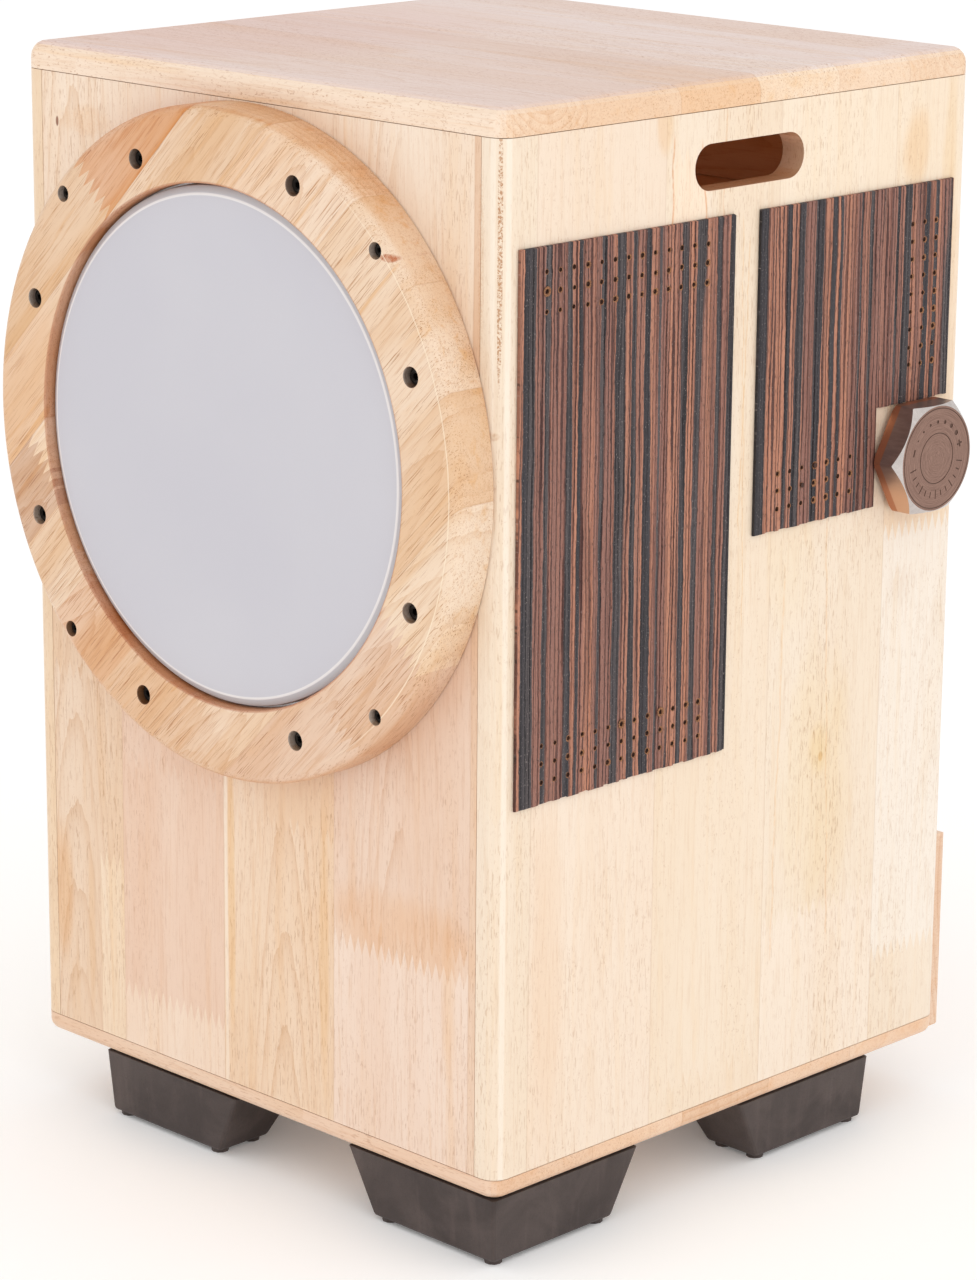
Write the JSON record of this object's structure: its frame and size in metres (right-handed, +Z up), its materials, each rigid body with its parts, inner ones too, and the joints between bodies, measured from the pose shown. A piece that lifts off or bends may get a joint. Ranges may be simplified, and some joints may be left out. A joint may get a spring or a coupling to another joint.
{
  "type": "cajon",
  "caption": "Wooden box drum to sit on, with a clamped drum head in front, thin playing panel behind, textured side plates, handle slots, corner feet and a snare dial.",
  "frame": {"origin": "bottom centre of the bounding box, on the surface that the feet stand on", "axes": "+Z up, the drum head faces -Y, the textured side with the dial faces +X, the thin playing panel is at +Y"},
  "size_m": [0.317, 0.3296, 0.5],
  "materials": {
    "seat_wood": "satin",
    "side_wood": "satin",
    "frame_wood": "matt",
    "tapa_wood": "satin",
    "ring_wood": "satin",
    "plate_wood": "satin",
    "drum_film": "matt",
    "hoop_metal": "satin",
    "black_steel": "satin",
    "bright_steel": "satin",
    "knob_metal": "satin",
    "bush_brass": "satin",
    "cam_plastic": "matt",
    "foot_plastic": "satin"
  },
  "bodies": {
    "box": {"top_panel": "seat_wood", "bottom_panel": "side_wood", "left_panel": "side_wood", "right_panel": "side_wood", "drum_panel": "side_wood", "rear_board": "side_wood", "tapa": "tapa_wood", "batten_left": "frame_wood", "batten_right": "frame_wood", "rail_top": "frame_wood", "snare_rail": "frame_wood", "rail_bottom": "frame_wood", "glue_block_left": "frame_wood", "glue_block_right": "frame_wood", "bearing_ring": "frame_wood", "clamp_ring": "ring_wood", "plate_tall": "plate_wood", "plate_notched": "plate_wood", "drum_head": "drum_film", "flesh_hoop": "hoop_metal", "bush_nut": "bright_steel", "pivot_rod": "bright_steel", "dial_bush": "bush_brass", "tension_screw_1": "black_steel", "tee_nut_1": "bright_steel", "tension_screw_2": "black_steel", "tee_nut_2": "bright_steel", "tension_screw_3": "black_steel", "tee_nut_3": "bright_steel", "tension_screw_4": "black_steel", "tee_nut_4": "bright_steel", "tension_screw_5": "black_steel", "tee_nut_5": "bright_steel", "tension_screw_6": "black_steel", "tee_nut_6": "bright_steel", "tension_screw_7": "black_steel", "tee_nut_7": "bright_steel", "tension_screw_8": "black_steel", "tee_nut_8": "bright_steel", "mount_screw_1": "black_steel", "mount_screw_2": "black_steel", "mount_screw_3": "black_steel", "mount_screw_4": "black_steel", "foot_front_right": "foot_plastic", "foot_screw_front_right": "black_steel", "foot_front_left": "foot_plastic", "foot_screw_front_left": "black_steel", "foot_back_right": "foot_plastic", "foot_screw_back_right": "black_steel", "foot_back_left": "foot_plastic", "foot_screw_back_left": "black_steel"},
    "dial": {"dial_knob": "knob_metal", "dial_shaft": "bright_steel", "dial_collar": "bright_steel", "snare_cam": "cam_plastic"},
    "snare": {"snare_board": "frame_wood", "snare_fan_left": "bright_steel", "snare_fan_right": "bright_steel"}
  },
  "joints": [
    {"name": "dial_turn", "type": "hinge", "parent": "box", "child": "dial", "pos_m": [-0.0085, 0.1192, 0.32], "axis": [-1, 0, 0], "range_deg": [-70, 70]},
    {"name": "snare_swing", "type": "hinge", "parent": "box", "child": "snare", "pos_m": [-0.0085, 0.1384, 0.41], "axis": [1, 0, 0], "range_deg": [-2.5, 2.5]}
  ],
  "couplings": [
    {"joint": "snare_swing", "follows": "dial_turn", "ratio": 0.035}
  ]
}
